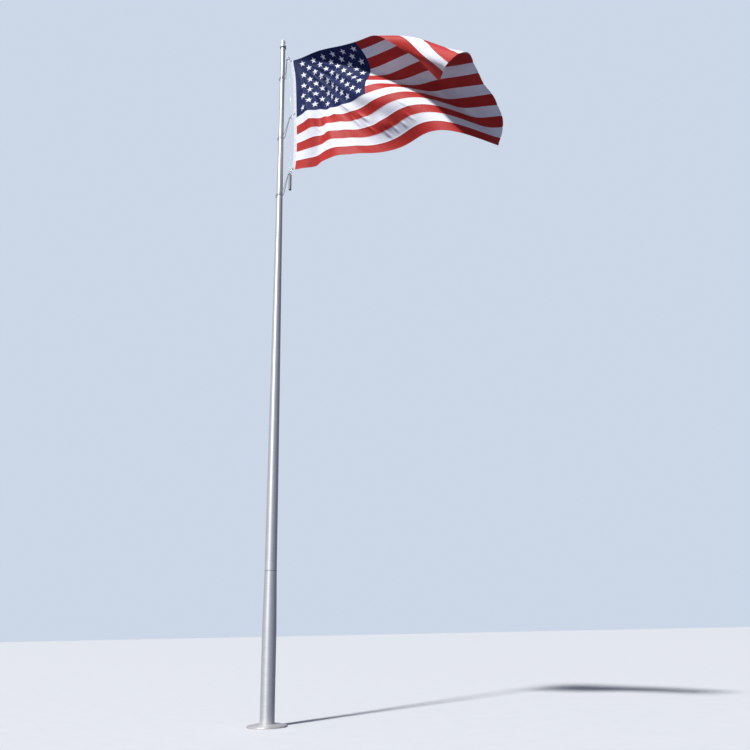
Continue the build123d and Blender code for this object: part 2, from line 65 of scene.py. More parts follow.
def addCamera(c):
    data = bpy.data.cameras.new("camera")
    data.sensor_width = c["sensor"]
    data.lens = c["sensor"] * c["focalPixels"] / c["framePixels"]
    data.clip_end = c["farthest"]
    camera = bpy.data.objects.new("camera", data)
    bpy.context.scene.collection.objects.link(camera)
    tilt = Matrix.Rotation(radians(90 + c["pitch"]), 4, "X")
    roll = Matrix.Rotation(radians(-c["roll"]), 4, "Z")
    camera.matrix_world = Matrix.Translation(c["place"]) @ tilt @ roll
    bpy.context.scene.camera = camera


addCamera(cameraSetup)
print("camera set")


# the flag's cut, and how it flies
flagCut = {
    "hoist": 2.4384,          # 8 ft
    "fly": 4.04,
    "stripes": 13,
    "cantonStripes": 7,
    "cantonShare": 0.4,       # of the fly
    "thickness": 0.0012,
    "seamWidth": 0.009,       # double-stitched seams and hems
    "seamRise": 0.0006,       # each side
    "seamEase": 0.002,        # over which a seam's edge falls to the cloth
    "flyHem": 0.035,
    "notch": 0.007,           # the fly hem draws in at each seam
    "columnStep": 0.012,
    "rowStep": 0.012,
}

flagPose = {
    "topCorner": (0.195, 11.708),   # x and z
    "lean": 0.067,                  # the hoist leans out towards its lower end
    "bow": 0.05,                    # and bows out between its ends
    "steps": 48,                    # along each weft row
    # degrees towards the viewer and below level, at the hoist, in the middle and at the fly,
    # along the top hem, the middle and the bottom hem
    "upperHeading": ((0, 51, 40), (-3, 39, 40), (10, 37, 9)),
    "upperDip": ((9, 30, 8), (19, 12, 16), (11, 3, -2)),
    "lowerHeading": ((-12, -5, -11), (22, -4, -22), (30, 6, -33)),
    "lowerDip": ((2, 18, -28), (12, 15, -15), (10, 13, -5)),
    "creaseSlope": 0.44,            # the crease, down from the top hoist corner: slope * u + curve * u * u
    "creaseCurve": 0.48,
    "creaseWidth": 0.10,
    # place along the fly at mid height, slant and width, then degrees towards the viewer and down
    "ridges": ((0.16, -0.09, 0.033, -28, -7), (0.26, 0.56, 0.111, -23, 1), (0.65, 0.01, 0.175, -7, -15)),
    "turns": ((0.0, 0.33, 0.072, 14, -9), (0.2, 0.73, 0.152, 32, -5)),
    "firstRidge": (0.15, 0.5),      # the first ridge dies away up the hoist, between these shares of it
    "foldTop": 0.46,                # the turned corner: where its fold meets the top hem
    "foldFly": 0.38,                # and the fly hem
    "rollRadius": (0.11, 0.205),    # metres, at the top hem and at the fly hem
    "flare": 0.12,                  # how fast the turned part lifts off
    "slopeStep": 0.004,             # over which the cloth's slope is measured
}

flagWrinkles = {
    # creases that fan out from the top hoist corner: degrees below the top hem, width in degrees,
    # height and how far out it is highest
    "fan": ((23, 2.4, 0.014, 0.9), (32, 2.4, 0.026, 1.1), (41, 2.6, 0.036, 1.2), (50, 2.8, 0.034, 1.3),
            (59, 2.6, 0.024, 1.4), (67, 3.0, 0.032, 1.4), (77, 3.4, 0.036, 1.4)),
    "fanNarrowest": 0.03,     # metres
    # short creases: place along the fly and down the hoist, degrees below the fly, length, width, height
    "pinches": ((0.85, 1.42, 58, 0.13, 0.022, 0.012), (0.52, 1.76, 50, 0.11, 0.02, 0.012),
                (0.98, 1.60, 55, 0.12, 0.02, 0.010), (1.32, 1.72, 52, 0.14, 0.022, 0.014),
                (1.45, 1.66, 52, 0.10, 0.018, 0.010), (1.60, 1.93, 48, 0.16, 0.024, 0.012),
                (1.92, 2.12, 50, 0.13, 0.022, 0.017), (2.08, 2.10, 52, 0.12, 0.018, 0.014),
                (2.32, 1.82, 42, 0.15, 0.022, 0.010), (0.72, 2.17, 55, 0.10, 0.02, 0.010),
                (2.55, 1.42, 35, 0.18, 0.026, 0.010), (0.35, 1.50, 62, 0.12, 0.018, 0.010),
                (2.9, 0.55, 64, 0.16, 0.02, 0.012), (3.2, 0.42, 60, 0.14, 0.02, 0.012),
                (1.86, 1.95, 47, 0.19, 0.10, 0.052), (1.50, 1.70, 47, 0.10, 0.035, 0.022),
                (2.27, 2.12, 48, 0.10, 0.02, 0.013), (2.42, 2.08, 45, 0.12, 0.022, 0.013),
                (0.62, 1.43, 52, 0.10, 0.024, 0.013), (1.15, 1.40, 50, 0.10, 0.022, 0.012)),
    "seamRipple": 0.0009,     # puckers along the seams
    "seamRippleLength": 0.052,
    "seamRippleReach": 0.03,
    "flutter": 0.012,         # ripple near the fly hem
    "flutterLength": 0.41,
    "flutterFade": 9,         # power of the distance from the hoist
}


def nineWay(values, u, v):
    # quadratic through three values along the fly, and through three rows down the hoist
    along = ((1 - u) * (1 - 2 * u), 4 * u * (1 - u), u * (2 * u - 1))
    down = ((1 - v) * (1 - 2 * v), 4 * v * (1 - v), v * (2 * v - 1))
    return sum(values[j][i] * along[i] * down[j] for j in range(3) for i in range(3))


def rowDirection(u, v):
    # upper face and lower face blend by a tanh step across the crease; a ridge adds an S-bend,
    # minus q times the bell curve of q, and a turn adds the bell curve alone
    p = flagPose
    crease = p["creaseSlope"] * u + p["creaseCurve"] * u * u
    upper = 0.5 + 0.5 * np.tanh((crease - v) * flagCut["hoist"] / p["creaseWidth"])
    heading = nineWay(p["lowerHeading"], u, v) * (1 - upper) + nineWay(p["upperHeading"], u, v) * upper
    dip = nineWay(p["lowerDip"], u, v) * (1 - upper) + nineWay(p["upperDip"], u, v) * upper
    fadeIn = np.clip((v - p["firstRidge"][0]) / (p["firstRidge"][1] - p["firstRidge"][0]), 0, 1)
    for table, isRidge in ((p["ridges"], True), (p["turns"], False)):
        for number, (place, slant, spread, turn, drop) in enumerate(table):
            q = (u - place - slant * (v - 0.5)) / spread
            swing = np.exp(-q * q / 2) * (-sqrt(e) * q if isRidge else 1)
            if isRidge and number == 0:
                swing = swing * fadeIn
            heading = heading + turn * swing
            dip = dip + drop * swing
    heading, dip = np.radians(heading), np.radians(dip)
    return np.stack([np.cos(dip) * np.cos(heading), -np.cos(dip) * np.sin(heading), -np.sin(dip)], -1)


def hoistX(t):
    # a straight lean plus a bow that is flat in the middle and steep at both ends
    v = t / flagCut["hoist"]
    return flagPose["topCorner"][0] + flagPose["lean"] * v + flagPose["bow"] * (1 - (2 * v - 1) ** 4)


def openCloth(s, t):
    # each weft row starts at the hoist and adds up its own direction, so it keeps its length
    u, v = s / flagCut["fly"], t / flagCut["hoist"]
    middles = (np.arange(flagPose["steps"]) + 0.5) / flagPose["steps"]
    down = np.broadcast_to(v[..., None], u.shape + middles.shape)
    mean = rowDirection(u[..., None] * middles, down).mean(-2)
    start = np.stack([hoistX(t), np.zeros_like(t), flagPose["topCorner"][1] - t], -1)
    return start + mean * s[..., None]


def turnedCorner(s, t):
    # past the fold line the cloth goes round a roll that widens towards the fly, then back over itself
    fly, hoist = flagCut["fly"], flagCut["hoist"]
    start = np.array([flagPose["foldTop"] * fly, 0.0])
    along = np.array([fly, flagPose["foldFly"] * hoist]) - start
    length = np.hypot(*along)
    along = along / length
    past = (s - start[0]) * along[1] - (t - start[1]) * along[0]
    way = np.clip(((s - start[0]) * along[0] + (t - start[1]) * along[1]) / length, 0, 1)
    r = flagPose["rollRadius"][0] * (1 - way) + flagPose["rollRadius"][1] * way
    turn = np.clip(past / r, 0, pi)
    back = np.maximum(past - pi * r, 0)
    shift = np.where(past > 0, r * np.sin(turn) - back - past, 0)
    lift = r * (1 - np.cos(turn)) + flagPose["flare"] * back
    return s + shift * along[1], t - shift * along[0], lift


def wrinkleLift(s, t):
    # a fan crease is a bell curve of the angle below the top hem, and along its length it goes as the
    # square of r * exp(1 - r), highest at its peak; a pinch is a bell curve both along and across;
    # puckers are a sine along the seam that fades away from it
    w, cut = flagWrinkles, flagCut
    angle, reach = np.degrees(np.arctan2(t, np.maximum(s, 1e-6))), np.hypot(s, t)
    lift = np.zeros_like(s)
    for at, width, height, peak in w["fan"]:
        r = reach / peak
        wide = np.hypot(width, np.degrees(w["fanNarrowest"] / np.maximum(reach, 1e-3)))
        lift += height * np.exp(-((angle - at) / wide) ** 2) * r * r * np.exp(2 - 2 * r)
    for atS, atT, slope, length, width, height in w["pinches"]:
        ds, dt = s - atS, t - atT
        along = (ds * np.cos(np.radians(slope)) + dt * np.sin(np.radians(slope))) / length
        across = (dt * np.cos(np.radians(slope)) - ds * np.sin(np.radians(slope))) / width
        lift += height * np.exp(-along ** 2 - across ** 2)
    stripe = cut["hoist"] / cut["stripes"]
    fromSeam = np.abs((t + stripe / 2) % stripe - stripe / 2)
    isCanton = (s < cut["fly"] * cut["cantonShare"]) & (t < stripe * cut["cantonStripes"] - stripe / 2)
    ripple = np.sin(2 * pi * s / w["seamRippleLength"]) * np.exp(-fromSeam / w["seamRippleReach"])
    lift += np.where(isCanton, 0, w["seamRipple"] * ripple)
    flutter = np.sin(2 * pi * (t / w["flutterLength"] + s / cut["fly"]))
    return lift + w["flutter"] * flutter * (s / cut["fly"]) ** w["flutterFade"]


def clothPoint(s, t):
    # the open cloth at the turned place, lifted off along its normal by the roll and the wrinkles
    ms, mt, lift = turnedCorner(s, t)
    h = flagPose["slopeStep"]
    alongFly = openCloth(ms + h, mt) - openCloth(ms - h, mt)
    downHoist = openCloth(ms, mt + h) - openCloth(ms, mt - h)
    normal = np.cross(downHoist, alongFly)
    normal /= np.linalg.norm(normal, axis=-1, keepdims=True)
    facing = np.where(lift > np.mean(flagPose["rollRadius"]), -1.0, 1.0)
    return openCloth(ms, mt) + normal * (lift + facing * wrinkleLift(s, t))[..., None]


def gridNormals(points):
    # across the two directions of a grid of points
    normal = np.cross(np.gradient(points, axis=1), np.gradient(points, axis=0))
    return normal / np.linalg.norm(normal, axis=-1, keepdims=True)


def addMesh(name, co, faces, uv, material, body="truck", sharpAbove=50):
    # only the points that a face uses; uv has one row for each point
    used = np.unique(np.concatenate([f.ravel() for f in faces]))
    faces = [np.searchsorted(used, f) for f in faces]
    mesh = bpy.data.meshes.new(name)
    mesh.from_pydata(co[used].tolist(), [], [row for f in faces for row in f.tolist()])
    layer = mesh.uv_layers.new(name="cloth")
    loops = np.concatenate([f.ravel() for f in faces])
    layer.data.foreach_set("uv", uv[used][loops].ravel().astype(np.float32))
    mesh.polygons.foreach_set("use_smooth", np.ones(len(mesh.polygons), bool))
    mesh.set_sharp_from_angle(angle=radians(sharpAbove))
    mesh.materials.append(material)
    piece = bpy.data.objects.new(name, mesh)
    bpy.context.scene.collection.objects.link(piece)
    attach(piece, body)
    return piece


def closedSheet(name, s, t, half, material, place=clothPoint, kept=None):
    # front and back grids, half the thickness off the middle surface, with walls wherever a kept
    # cell has no kept neighbour
    points = place(s, t)
    normals = gridNormals(points)
    co = np.concatenate([(points + normals * half[..., None]).reshape(-1, 3),
                         (points - normals * half[..., None]).reshape(-1, 3)])
    n, m = s.shape
    index = np.arange(n * m).reshape(n, m)
    corners = np.stack([index[:-1, :-1], index[:-1, 1:], index[1:, 1:], index[1:, :-1]], -1)
    kept = np.ones((n - 1, m - 1), bool) if kept is None else kept
    ringed = np.pad(kept, 1)
    faces = [corners[kept], corners[kept][:, ::-1] + n * m]
    neighbours = (ringed[:-2, 1:-1], ringed[1:-1, 2:], ringed[2:, 1:-1], ringed[1:-1, :-2])
    for k, neighbour in enumerate(neighbours):
        cell = corners[kept & ~neighbour]
        a, b = cell[:, k], cell[:, (k + 1) % 4]
        faces.append(np.stack([b, a, a + n * m, b + n * m], -1))
    return addMesh(name, co, faces, np.tile(np.stack([s.ravel(), t.ravel()], -1), (2, 1)), material)


# shader building
def addNode(tree, kind, **values):
    node = tree.nodes.new(kind)
    for key, value in values.items():
        setattr(node, key, value)
    return node


def feed(tree, socket, value):
    if isinstance(value, bpy.types.NodeSocket):
        tree.links.new(value, socket)
    else:
        socket.default_value = value


def calc(tree, operation, *values, clamp=False):
    node = addNode(tree, "ShaderNodeMath", operation=operation, use_clamp=clamp)
    for socket, value in zip(node.inputs, values):
        feed(tree, socket, value)
    return node.outputs[0]


def scaled(tree, vector, scale):
    node = addNode(tree, "ShaderNodeVectorMath", operation="MULTIPLY")
    feed(tree, node.inputs[0], vector)
    feed(tree, node.inputs[1], scale)
    return node.outputs[0]


def split(tree, vector):
    node = addNode(tree, "ShaderNodeSeparateXYZ")
    feed(tree, node.inputs[0], vector)
    return node.outputs


def join(tree, x, y, z):
    node = addNode(tree, "ShaderNodeCombineXYZ")
    for socket, value in zip(node.inputs, (x, y, z)):
        feed(tree, socket, value)
    return node.outputs[0]


def noise(tree, vector, scale, detail=2.0, roughness=0.5):
    node = addNode(tree, "ShaderNodeTexNoise")
    for name, value in (("Vector", vector), ("Scale", scale), ("Detail", detail), ("Roughness", roughness)):
        feed(tree, node.inputs[name], value)
    return node.outputs["Fac"]


def fade(tree, value, low, high, toLow=0.0, toHigh=1.0):
    # smooth step from one value to the other
    node = addNode(tree, "ShaderNodeMapRange", interpolation_type="SMOOTHSTEP")
    for socket, entry in zip(node.inputs, (value, low, high, toLow, toHigh)):
        feed(tree, socket, entry)
    return node.outputs[0]


def tint(tree, factor, first, second):
    # mixes two colours
    node = addNode(tree, "ShaderNodeMix", data_type="RGBA")
    for socket, value in ((node.inputs[0], factor), (node.inputs[6], first), (node.inputs[7], second)):
        if isinstance(value, tuple) and len(value) == 3:
            value = (*value, 1)
        feed(tree, socket, value)
    return node.outputs[2]


def over(tree, color, mask, share, other):
    # lays a share of another colour over this one, where the mask is
    return tint(tree, calc(tree, "MULTIPLY", mask, share), color, other)


def newGroup(name, inputs, outputs):
    # inputs and outputs are names with their kind of socket: Float or Vector
    group = bpy.data.node_groups.new(name, "ShaderNodeTree")
    for direction, sockets in (("INPUT", inputs), ("OUTPUT", outputs)):
        for socket, kind in sockets.items():
            group.interface.new_socket(name=socket, in_out=direction, socket_type="NodeSocket" + kind)
    return group, addNode(group, "NodeGroupInput").outputs, addNode(group, "NodeGroupOutput").inputs


def useGroup(tree, group, **values):
    node = addNode(tree, "ShaderNodeGroup", node_tree=group)
    for name, value in values.items():
        feed(tree, node.inputs[name], value)
    return node.outputs


weaveEffect = {"across": 700, "along": 12}      # scale of the noise across a thread and along it


def makeWeave(f):
    # plain weave: the product of two sines, with threads that differ a little from each other
    group, given, put = newGroup("weave", {"Cloth": "Vector", "Pitch": "Float"},
                                 {"Height": "Float", "Slub": "Float"})
    s, t, _ = split(group, given["Cloth"])
    turns = calc(group, "DIVIDE", 2 * pi, given["Pitch"])
    alongWave = calc(group, "SINE", calc(group, "MULTIPLY", s, turns))
    acrossWave = calc(group, "SINE", calc(group, "MULTIPLY", t, turns))
    woven = calc(group, "MULTIPLY", alongWave, acrossWave)
    feed(group, put["Height"], calc(group, "MULTIPLY_ADD", woven, 0.5, 0.5))
    warp = noise(group, scaled(group, given["Cloth"], (f["across"], f["along"], 1)), 1.0, 1.0)
    weft = noise(group, scaled(group, given["Cloth"], (f["along"], f["across"], 1)), 1.0, 1.0)
    feed(group, put["Slub"], calc(group, "MULTIPLY", calc(group, "ADD", warp, weft), 0.5))
    return group


stitchEffect = {
    "rows": (0.0022, 0.0072),      # metres from the seam
    "gap": (0.08, 0.16),           # half a gap between stitches, as a share of a stitch
    "thread": (0.0003, 0.0008),    # metres from its row, where it begins to fade and where it is gone
    "dip": (0.0006, 0.0035),       # and the dip beside it
    "dipDepth": 0.6,
}


def makeStitching(f):
    # two rows of lockstitch beside a seam: each row is a thin band of the distance, cut into dashes
    # along the seam, and the cloth dips beside the thread
    group, given, put = newGroup("stitching", {"Along": "Float", "Distance": "Float", "Length": "Float"},
                                 {"Thread": "Float", "Height": "Float"})
    dash = calc(group, "PINGPONG", calc(group, "DIVIDE", given["Along"], given["Length"]), 0.5)
    dash = fade(group, dash, *f["gap"])
    threads, dips = [], []
    for row in f["rows"]:
        away = calc(group, "ABSOLUTE", calc(group, "SUBTRACT", given["Distance"], row))
        threads.append(fade(group, away, *f["thread"], 1.0, 0.0))
        dips.append(fade(group, away, *f["dip"], 1.0, 0.0))
    thread = calc(group, "MULTIPLY", calc(group, "MAXIMUM", *threads), dash)
    dip = calc(group, "MULTIPLY", calc(group, "MAXIMUM", *dips), f["dipDepth"])
    feed(group, put["Thread"], thread)
    feed(group, put["Height"], calc(group, "SUBTRACT", thread, dip))
    return group


# each noise below is given as its scale, detail and roughness
handlingEffect = {
    "shade": (2.6, 4.0, 0.6),
    "slant": (11, 17, 1),
    "crinkle": (1.0, 3.0, 0.55),
    "crinkleWidth": 0.12,
}


def makeHandling(f):
    # what use does to cloth: large soft changes of shade, and fine crinkles pressed in by folding
    group, given, put = newGroup("handling", {"Cloth": "Vector"}, {"Shade": "Float", "Crinkle": "Float"})
    feed(group, put["Shade"], noise(group, given["Cloth"], *f["shade"]))
    soft = noise(group, scaled(group, given["Cloth"], f["slant"]), *f["crinkle"])
    ridge = calc(group, "ABSOLUTE", calc(group, "SUBTRACT", soft, 0.5))
    feed(group, put["Crinkle"], calc(group, "SUBTRACT", 1.0, fade(group, ridge, 0.0, f["crinkleWidth"])))
    return group


grainEffect = {
    "drift": 6.0,                  # how fast a ring changes round the axis
    "rings": (1.0, 3.0, 0.65),
    "bands": (0.11, 2.0, 0.5),
}


def makeTurnedGrain(f):
    # the fine rings that a lathe, a spinning tool or a rotary sander leaves round an upright axis:
    # noise of the radius and the height, hardly changing round the axis
    group, given, put = newGroup("turnedGrain", {"Object": "Vector", "Density": "Float"},
                                 {"Height": "Float", "Shade": "Float"})
    x, y, z = split(group, given["Object"])
    square = calc(group, "ADD", calc(group, "MULTIPLY", x, x), calc(group, "MULTIPLY", y, y))
    radius = calc(group, "SQRT", square)
    ringPlace = join(group, calc(group, "MULTIPLY", radius, given["Density"]),
                     calc(group, "MULTIPLY", z, given["Density"]), calc(group, "MULTIPLY", x, f["drift"]))
    feed(group, put["Height"], noise(group, ringPlace, *f["rings"]))
    feed(group, put["Shade"], noise(group, ringPlace, *f["bands"]))
    return group


weatherEffect = {
    "dust": (5.0, 0.6),            # its scale is given in each material
    "dustEdge": (0.42, 0.72),
    "specks": (210.0, 2.0, 0.5),
    "specksEdge": (0.68, 0.76),
    "runsStretch": (55, 55, 0.9),
    "runs": (1.0, 3.0, 0.6),
    "runsEdge": (0.5, 0.75),
}


def makeWeather(f):
    # dust in soft patches, dark specks and faint upright runs that rain leaves
    group, given, put = newGroup("weather", {"Object": "Vector", "Patch": "Float"},
                                 {"Dust": "Float", "Specks": "Float", "Runs": "Float"})
    dust = noise(group, given["Object"], given["Patch"], *f["dust"])
    specks = noise(group, given["Object"], *f["specks"])
    runs = noise(group, scaled(group, given["Object"], f["runsStretch"]), *f["runs"])
    feed(group, put["Dust"], fade(group, dust, *f["dustEdge"]))
    feed(group, put["Specks"], fade(group, specks, *f["specksEdge"]))
    feed(group, put["Runs"], fade(group, runs, *f["runsEdge"]))
    return group


splashEffect = {
    "noise": (32.0, 5.0, 0.7),
    "spread": 1.5,
    "offset": -0.45,
    "edge": 0.55,
}


def makeGroundSplash(f):
    # soil splashed up from the ground: thick at the foot, broken up by noise, gone at its reach
    group, given, put = newGroup("groundSplash", {"Object": "Vector", "Reach": "Float"}, {"Soil": "Float"})
    level = calc(group, "DIVIDE", split(group, given["Object"])[2], given["Reach"])
    broken = noise(group, given["Object"], *f["noise"])
    broken = calc(group, "MULTIPLY_ADD", broken, f["spread"], f["offset"])
    feed(group, put["Soil"], fade(group, calc(group, "SUBTRACT", broken, level), 0.0, f["edge"]))
    return group


skinEffect = {
    "fine": (4.0, 0.65),           # its scale is given in each material
    "pitShare": 0.35,              # of that scale
    "pits": (1.0, 0.4),
    "pitEdge": (0.3, 0.38),
}


def makeSkin(f):
    # the skin of a casting, a moulding or a coat of paint: fine grain, with small pits
    group, given, put = newGroup("skin", {"Object": "Vector", "Grain": "Float"},
                                 {"Height": "Float", "Pits": "Float"})
    fine = noise(group, given["Object"], given["Grain"], *f["fine"])
    coarse = calc(group, "MULTIPLY", given["Grain"], f["pitShare"])
    pits = fade(group, noise(group, given["Object"], coarse, *f["pits"]), *f["pitEdge"])
    feed(group, put["Height"], calc(group, "MULTIPLY", fine, pits))
    feed(group, put["Pits"], calc(group, "SUBTRACT", 1.0, pits))
    return group


strandEffect = {
    "crowns": 3.0,                 # half the number of strands
    "wires": 18.0,
    "wireLift": 0.15,              # beside a strand's
    "grooveEdge": (0.05, 0.4),
}


def makeStrands(f):
    # laid wire: a sine of the angle round the cable plus the distance along it, so that crowns run
    # as a screw, and finer wires inside each strand
    group, given, put = newGroup("strands", {"Local": "Vector", "Lay": "Float"},
                                 {"Height": "Float", "Groove": "Float"})
    x, y, z = split(group, given["Local"])
    around = calc(group, "ARCTAN2", y, x)
    climb = calc(group, "DIVIDE", calc(group, "MULTIPLY", z, 2 * pi), given["Lay"])
    screw = calc(group, "ADD", around, climb)
    crown = calc(group, "ABSOLUTE", calc(group, "SINE", calc(group, "MULTIPLY", screw, f["crowns"])))
    back = calc(group, "SUBTRACT", screw, calc(group, "MULTIPLY", around, 2.0))
    wires = calc(group, "SINE", calc(group, "MULTIPLY", back, f["wires"]))
    feed(group, put["Height"], calc(group, "MULTIPLY_ADD", wires, f["wireLift"], crown))
    # Groove marks the valleys between strands; the rope material paints shade there and roughens them
    feed(group, put["Groove"], fade(group, crown, *f["grooveEdge"], 1.0, 0.0))
    return group


weave, stitching, handling = makeWeave(weaveEffect), makeStitching(stitchEffect), makeHandling(handlingEffect)
turnedGrain, weather = makeTurnedGrain(grainEffect), makeWeather(weatherEffect)
groundSplash, skin, strands = makeGroundSplash(splashEffect), makeSkin(skinEffect), makeStrands(strandEffect)
print("shader groups made")


def newMaterial(name, **constants):
    # constants are set on the shader's own sockets, their names written without spaces
    material = bpy.data.materials.new(name)
    material.use_nodes = True
    tree = material.node_tree
    shader = tree.nodes["Principled BSDF"]
    for socket in shader.inputs:
        key = socket.name.replace(" ", "")
        if key in constants:
            socket.default_value = constants[key]
    return material, tree, shader


def addBump(tree, shader, height, distance, strength, under=None):
    bump = addNode(tree, "ShaderNodeBump")
    bump.inputs["Strength"].default_value = strength
    bump.inputs["Distance"].default_value = distance
    feed(tree, bump.inputs["Height"], height)
    if under is not None:
        feed(tree, bump.inputs["Normal"], under)
    feed(tree, shader.inputs["Normal"], bump.outputs[0])
    return bump.outputs[0]


def objectPlace(tree):
    return addNode(tree, "ShaderNodeTexCoord").outputs["Object"]


poleFinish = {
    "bright": (0.73, 0.73, 0.73),
    "dull": (0.66, 0.66, 0.67),
    "runs": (0.54, 0.55, 0.56),     # rain streaks
    "runsShare": 0.14,
    "specksShare": 0.35,
    "soil": (0.26, 0.23, 0.18),
    "soilShare": 0.75,
    "soilReach": 0.22,              # metres
    "roughness": (0.47, 0.54),
    "dustRoughness": 0.03,          # more under dust and soil
    "soilRoughness": 0.35,
    "metallic": 0.64,               # the oxide skin scatters the rest
    "dustMetallic": 0.06,           # less under dust and soil
    "soilMetallic": 0.9,
    "anisotropic": 0.55,
    "patch": 7.0,                   # scale of the dust's patches
    "ringDensity": 900.0,
    "relief": 0.00006,              # metres
    "reliefStrength": 0.4,
    "jointLine": (0.10, 0.10, 0.11),
    "jointEdge": (0.002, 0.008),    # metres from the joint, where the line fades
    "jointShare": 0.6,
}
spunFinish = {**poleFinish, "bright": (0.80, 0.80, 0.81), "dull": (0.74, 0.74, 0.76), "ringDensity": 620.0,
              "metallic": 0.5}
# the spun finish again, darker and less metallic: painted shade for the collar, whose face turns up to the
# key light
collarShadedFinish = {**spunFinish, "bright": (0.52, 0.50, 0.50), "dull": (0.46, 0.45, 0.45), "metallic": 0.42,
                "soilReach": 0.05}


def aluminiumMaterial(name, f, joint=None):
    # brushed round the axis, so the gloss stretches along the pole
    material, tree, shader = newMaterial(name, Anisotropic=f["anisotropic"], AnisotropicRotation=0.25)
    around = addNode(tree, "ShaderNodeTangent", direction_type="RADIAL", axis="Z")
    feed(tree, shader.inputs["Tangent"], around.outputs[0])
    place = objectPlace(tree)
    grain = useGroup(tree, turnedGrain, Object=place, Density=f["ringDensity"])
    aged = useGroup(tree, weather, Object=place, Patch=f["patch"])
    soil = useGroup(tree, groundSplash, Object=place, Reach=f["soilReach"])["Soil"]
    color = tint(tree, grain["Shade"], f["dull"], f["bright"])
    color = over(tree, color, aged["Runs"], f["runsShare"], f["runs"])
    color = over(tree, color, aged["Specks"], f["specksShare"], f["runs"])
    color = over(tree, color, soil, f["soilShare"], f["soil"])
    if joint is not None:
        # a dark line where the two sections meet
        away = calc(tree, "ABSOLUTE", calc(tree, "SUBTRACT", split(tree, place)[2], joint))
        color = tint(tree, fade(tree, away, *f["jointEdge"], f["jointShare"], 0.0), color, f["jointLine"])
    feed(tree, shader.inputs["Base Color"], color)
    rough = fade(tree, grain["Shade"], 0.25, 0.75, *f["roughness"])
    rough = calc(tree, "MULTIPLY_ADD", aged["Dust"], f["dustRoughness"], rough)
    rough = calc(tree, "MULTIPLY_ADD", soil, f["soilRoughness"], rough, clamp=True)
    feed(tree, shader.inputs["Roughness"], rough)
    dull = calc(tree, "MAXIMUM", calc(tree, "MULTIPLY", soil, f["soilMetallic"]),
                calc(tree, "MULTIPLY", aged["Dust"], f["dustMetallic"]))
    feed(tree, shader.inputs["Metallic"], calc(tree, "SUBTRACT", f["metallic"], dull, clamp=True))
    addBump(tree, shader, grain["Height"], f["relief"], f["reliefStrength"])
    return material


castFinish = {"color": (0.52, 0.53, 0.55), "pit": (0.22, 0.22, 0.23), "dust": (0.42, 0.40, 0.37),
              "roughness": (0.42, 0.6), "metallic": 1.0, "grain": 900.0, "relief": 0.0004}
stainlessFinish = {"color": (0.66, 0.66, 0.67), "pit": (0.40, 0.40, 0.41), "dust": (0.36, 0.33, 0.30),
                   "roughness": (0.16, 0.34), "metallic": 1.0, "grain": 260.0, "relief": 0.00008}
brassFinish = {"color": (0.80, 0.60, 0.27), "pit": (0.33, 0.22, 0.10), "dust": (0.42, 0.36, 0.22),
               "roughness": (0.22, 0.42), "metallic": 1.0, "grain": 420.0, "relief": 0.0001}
weightFinish = {"color": (0.20, 0.21, 0.21), "pit": (0.16, 0.16, 0.16), "dust": (0.30, 0.29, 0.27),
                "roughness": (0.44, 0.62), "metallic": 0.35, "grain": 500.0, "relief": 0.0003}
sheaveFinish = {"color": (0.05, 0.05, 0.052), "pit": (0.02, 0.02, 0.02), "dust": (0.22, 0.21, 0.2),
                "roughness": (0.38, 0.55), "metallic": 0.0, "grain": 700.0, "relief": 0.0001}
slingFinish = {"color": (0.17, 0.18, 0.20), "pit": (0.12, 0.12, 0.13), "dust": (0.42, 0.42, 0.40),
               "roughness": (0.34, 0.52), "metallic": 0.0, "grain": 380.0, "relief": 0.0002}
skinWear = {
    "patch": 38.0,                  # scale of the dust's patches
    "dustShare": 0.4,
    "runsShare": 0.25,
    "pitRoughness": 0.12,
    "reliefStrength": 0.6,
}


def skinMaterial(name, f):
    # cast, drawn, moulded or painted: its grain and pits, then dust that settles on it
    material, tree, shader = newMaterial(name, Metallic=f["metallic"])
    place = objectPlace(tree)
    surface = useGroup(tree, skin, Object=place, Grain=f["grain"])
    aged = useGroup(tree, weather, Object=place, Patch=skinWear["patch"])
    color = tint(tree, surface["Pits"], f["color"], f["pit"])
    color = over(tree, color, aged["Dust"], skinWear["dustShare"], f["dust"])
    color = over(tree, color, aged["Runs"], skinWear["runsShare"], f["pit"])
    feed(tree, shader.inputs["Base Color"], color)
    rough = fade(tree, aged["Dust"], 0.0, 1.0, *f["roughness"])
    rough = calc(tree, "MULTIPLY_ADD", surface["Pits"], skinWear["pitRoughness"], rough, clamp=True)
    feed(tree, shader.inputs["Roughness"], rough)
    addBump(tree, shader, surface["Height"], f["relief"], skinWear["reliefStrength"])
    return material


ropeFinish = {
    "crown": (0.60, 0.61, 0.63),
    # painted shade in the valleys between strands, and the colour that dust darkens the cable towards
    "groove": (0.10, 0.10, 0.10),
    "lay": 0.028,             # metres for one turn of a strand
    "patch": 20.0,
    "dustShare": 0.35,
    "roughness": (0.32, 0.7),
    "metallic": 0.85,
    "relief": 0.0004,
    "reliefStrength": 0.8,
}


def ropeMaterial(name, start, end, f):
    # the Mapping node stands the line from start to end upright, so that the strands wind round it
    material, tree, shader = newMaterial(name, Metallic=f["metallic"])
    toUpright = (Vector(end) - Vector(start)).to_track_quat("Z", "Y").to_euler()
    mapping = addNode(tree, "ShaderNodeMapping", vector_type="TEXTURE")
    mapping.inputs["Location"].default_value = start
    mapping.inputs["Rotation"].default_value = toUpright
    feed(tree, mapping.inputs["Vector"], objectPlace(tree))
    laid = useGroup(tree, strands, Local=mapping.outputs[0], Lay=f["lay"])
    aged = useGroup(tree, weather, Object=objectPlace(tree), Patch=f["patch"])
    # painted shade: the valleys between strands are darkened as if shade fell in them
    color = tint(tree, laid["Groove"], f["crown"], f["groove"])
    feed(tree, shader.inputs["Base Color"], over(tree, color, aged["Dust"], f["dustShare"], f["groove"]))
    feed(tree, shader.inputs["Roughness"], fade(tree, laid["Groove"], 0.0, 1.0, *f["roughness"]))
    addBump(tree, shader, laid["Height"], f["relief"], f["reliefStrength"])
    return material


